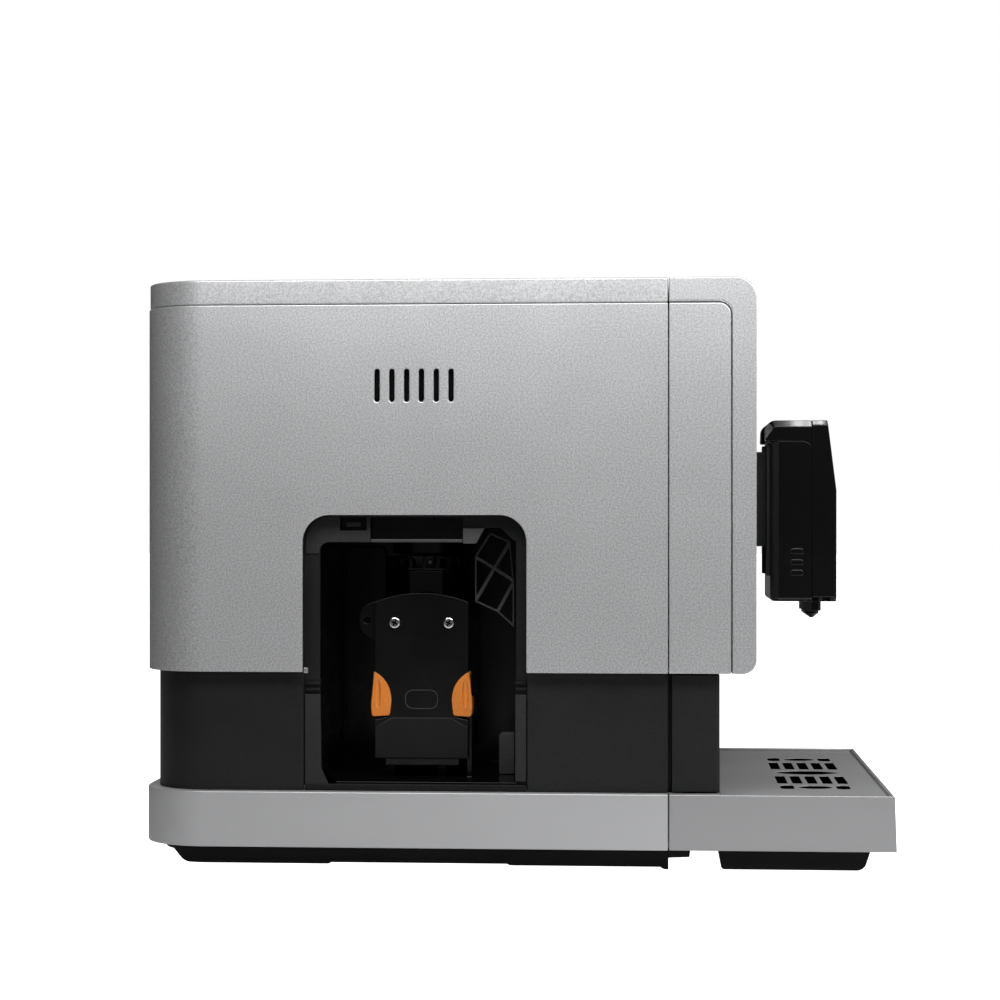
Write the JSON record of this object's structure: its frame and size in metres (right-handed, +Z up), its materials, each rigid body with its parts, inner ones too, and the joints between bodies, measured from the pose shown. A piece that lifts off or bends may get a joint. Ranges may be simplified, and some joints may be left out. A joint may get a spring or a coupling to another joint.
{
  "type": "espresso machine",
  "caption": "Bean-to-cup espresso machine with its service door off: pull-out brew unit, drip drawer, lift-out tank, bean hopper and height-set spout.",
  "frame": {"origin": "on the surface the machine stands on, in the middle of its box", "axes": "+Z up, -Y towards the front and its drip tray, +X to the right of a user who faces the front"},
  "size_m": [0.28, 0.45, 0.35],
  "materials": {
    "silver_paint": "moulded panels in silver metallic paint with a fine sparkle",
    "silver_smooth": "moulded band and tray in smoother silver paint",
    "satin_black": "satin black moulded plastic",
    "gloss_black": "polished black plastic",
    "grey_plastic": "dark grey engineering plastic",
    "orange_plastic": "orange moulded finger pads",
    "steel_sheet": "plain steel",
    "screw_chrome": "bright plated screws",
    "display": "dark glass flush with the face",
    "clear_plastic": "smoked clear plastic",
    "foot_rubber": "rubber",
    "circuit_board": "green board",
    "hose_silicone": "milky silicone hose"
  },
  "bodies": {
    "machine": {"base_band": "silver_smooth", "base_pan": "satin_black", "bay_liner": "satin_black", "bean_hopper": "clear_plastic", "brew_head": "grey_plastic", "brew_hose": "hose_silicone", "brew_motor": "grey_plastic", "burr_housing": "grey_plastic", "cheek_left": "silver_paint", "cheek_right": "silver_paint", "control_board": "circuit_board", "display_glass": "display", "door_frame": "satin_black", "floor_plate": "steel_sheet", "foot_left_front": "foot_rubber", "foot_left_rear": "foot_rubber", "foot_right_front": "foot_rubber", "foot_right_rear": "foot_rubber", "front_bezel": "silver_paint", "grinder_motor": "steel_sheet", "lattice_bracket": "satin_black", "left_panel": "silver_paint", "mains_inlet": "satin_black", "mid_shelf": "steel_sheet", "pump": "grey_plastic", "rear_panel": "silver_paint", "right_panel": "silver_paint", "skirt_left_front": "satin_black", "skirt_left_rear": "satin_black", "skirt_rear": "satin_black", "skirt_right": "satin_black", "spout_rail": "satin_black", "tank_dock": "satin_black", "thermoblock": "steel_sheet", "top_cover": "silver_paint"},
    "drawer": {"drip_tray": "silver_smooth", "tray_foot": "satin_black", "grounds_container": "satin_black"},
    "grate_plate": {"grate": "silver_smooth"},
    "brew_unit": {"brew_plate": "satin_black", "brew_housing": "satin_black", "brew_screw_1": "screw_chrome", "brew_screw_2": "screw_chrome", "brew_cylinder": "satin_black"},
    "piston": {"brew_piston": "grey_plastic"},
    "front_latch": {"latch_front": "orange_plastic"},
    "rear_latch": {"latch_rear": "orange_plastic"},
    "spout": {"spout_body": "gloss_black", "spout_cap": "gloss_black", "spout_front": "gloss_black", "nozzle_left": "gloss_black", "nozzle_right": "gloss_black"},
    "tank": {"water_tank": "clear_plastic"},
    "tank_cap": {"tank_lid": "silver_paint"},
    "bean_lid": {"hopper_lid": "silver_paint"},
    "dial": {"grind_dial": "satin_black"},
    "lower_burr": {"burr": "steel_sheet"},
    "left_button": {"button_left": "silver_paint"},
    "right_button": {"button_right": "silver_paint"},
    "rocker": {"power_switch": "satin_black"}
  },
  "joints": [
    {"name": "drawer_slide", "type": "slide", "parent": "machine", "child": "drawer", "axis": [0, -1, 0], "range_m": [0, 0.21]},
    {"name": "grate_lift", "type": "slide", "parent": "drawer", "child": "grate_plate", "axis": [0, 0, 1], "range_m": [0, 0.05]},
    {"name": "brew_unit_slide", "type": "slide", "parent": "machine", "child": "brew_unit", "axis": [-1, 0, 0], "range_m": [0, 0.14]},
    {"name": "piston_slide", "type": "slide", "parent": "brew_unit", "child": "piston", "axis": [0, 0, 1], "range_m": [0, 0.03]},
    {"name": "front_latch_press", "type": "slide", "parent": "brew_unit", "child": "front_latch", "axis": [0, 1, 0], "range_m": [0, 0.003], "stiffness_N_per_m": 300, "springref_m": -0.001},
    {"name": "rear_latch_press", "type": "slide", "parent": "brew_unit", "child": "rear_latch", "axis": [0, -1, 0], "range_m": [0, 0.003], "stiffness_N_per_m": 300, "springref_m": -0.001},
    {"name": "spout_slide", "type": "slide", "parent": "machine", "child": "spout", "axis": [0, 0, 1], "range_m": [-0.03, 0.02]},
    {"name": "tank_lift", "type": "slide", "parent": "machine", "child": "tank", "axis": [0, 0, 1], "range_m": [0, 0.28]},
    {"name": "tank_lid_hinge", "type": "hinge", "parent": "tank", "child": "tank_cap", "pos_m": [0.057, 0.14075, 0.35], "axis": [0, -1, 0], "range_deg": [0, 95]},
    {"name": "bean_lid_hinge", "type": "hinge", "parent": "machine", "child": "bean_lid", "pos_m": [-0.06475, 0.0225, 0.35], "axis": [-1, 0, 0], "range_deg": [0, 100]},
    {"name": "grind_dial_turn", "type": "hinge", "parent": "machine", "child": "dial", "pos_m": [-0.026, -0.05, 0.34], "axis": [0, 0, 1], "range_deg": [-150, 150]},
    {"name": "burr_spin", "type": "hinge", "parent": "machine", "child": "lower_burr", "pos_m": [-0.06, -0.05, 0.22], "axis": [0, 0, 1], "continuous": true},
    {"name": "left_button_press", "type": "slide", "parent": "machine", "child": "left_button", "axis": [0, 1, 0], "range_m": [0, 0.0006], "stiffness_N_per_m": 500, "springref_m": -0.0005},
    {"name": "right_button_press", "type": "slide", "parent": "machine", "child": "right_button", "axis": [0, 1, 0], "range_m": [0, 0.0006], "stiffness_N_per_m": 500, "springref_m": -0.0005},
    {"name": "power_rocker", "type": "hinge", "parent": "machine", "child": "rocker", "pos_m": [-0.015, 0.2145, 0.085], "axis": [1, 0, 0], "range_deg": [-7, 7]}
  ]
}
